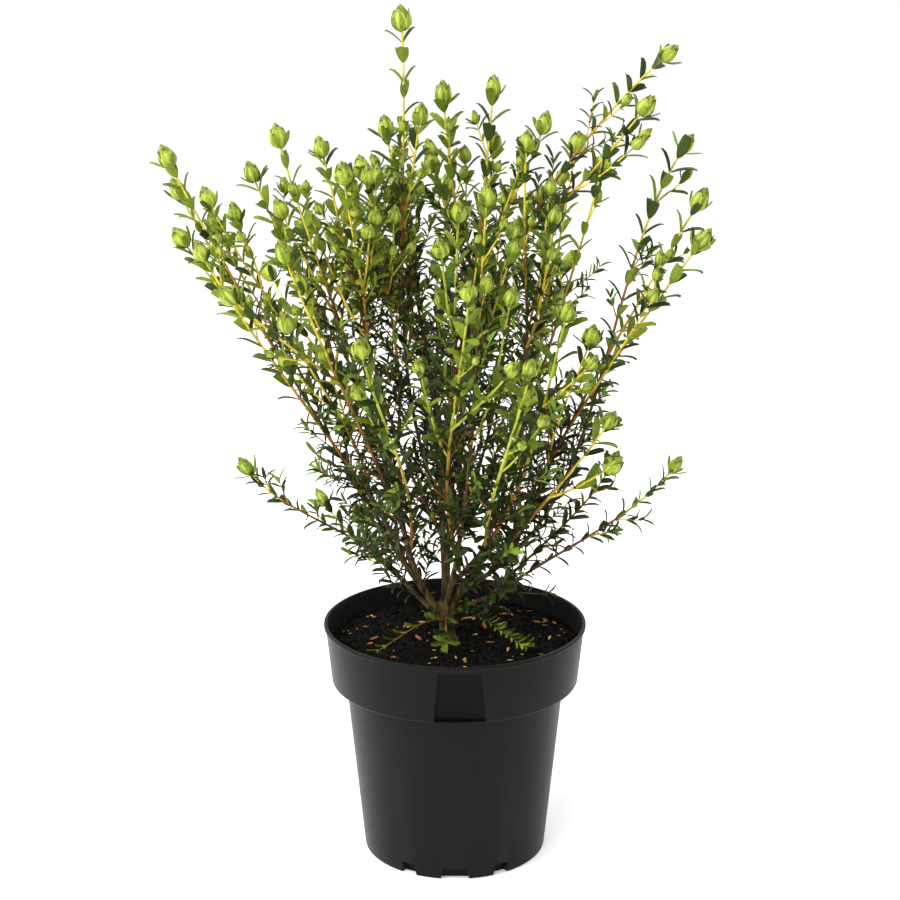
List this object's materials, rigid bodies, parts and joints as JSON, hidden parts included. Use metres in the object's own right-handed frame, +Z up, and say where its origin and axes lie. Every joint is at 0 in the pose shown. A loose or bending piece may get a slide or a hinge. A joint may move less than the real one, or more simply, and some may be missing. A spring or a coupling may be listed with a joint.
{
  "type": "potted rice flower",
  "caption": "Upright evergreen shrub in green bud, with narrow opposite leaves on slender stems, in a round black nursery pot with a collar rim and a bare label panel.",
  "frame": {"origin": "centre of the pot's flat underside", "axes": "+Z up, +X to the viewer's right, and -Y towards the front, where the pot's label panel is"},
  "size_m": [0.3777, 0.3067, 0.5896],
  "materials": {
    "pot": "satin moulded",
    "soil": "damp crumbly potting mix",
    "bark": "finely scaly bark",
    "foliage": "leaves and green buds"
  },
  "bodies": {
    "root": {"pot": "pot", "soil": "soil", "trunk": "bark", "limb_left": "bark", "limb_right": "bark", "limb_front": "bark", "limb_back": "bark", "limb_centre": "bark", "limb_left_front": "bark", "limb_left_back": "bark", "limb_right_low": "bark", "limb_right_back": "bark", "limb_right_front": "bark", "limb_centre_back": "bark", "limb_low_right": "bark", "limb_low_left": "bark", "foliage_left_upper": "foliage", "foliage_left_lower": "foliage", "foliage_left_mid": "foliage", "foliage_left_near": "foliage", "foliage_front_left": "foliage", "foliage_left_top": "foliage", "foliage_inner_left": "foliage", "foliage_leader": "foliage", "foliage_top_left": "foliage", "foliage_top_back": "foliage", "foliage_top_right": "foliage", "foliage_front_tall": "foliage", "foliage_front_inner": "foliage", "foliage_right_inner": "foliage", "foliage_right_leader": "foliage", "foliage_right_outer": "foliage", "foliage_right_side": "foliage", "foliage_right_lower": "foliage", "foliage_right_mid": "foliage", "foliage_right_far": "foliage", "foliage_near_right": "foliage", "foliage_near_low": "foliage", "foliage_near_mid": "foliage", "foliage_right_bottom": "foliage", "foliage_far_left": "foliage", "foliage_back_left": "foliage", "foliage_back_mid": "foliage", "foliage_back_right": "foliage", "foliage_low_right_far": "foliage", "foliage_low_right_near": "foliage", "foliage_low_left_far": "foliage", "foliage_low_left_near": "foliage", "foliage_low_back": "foliage", "foliage_foot_front": "foliage", "foliage_foot_right": "foliage", "foliage_foot_left": "foliage"}
  },
  "joints": []
}
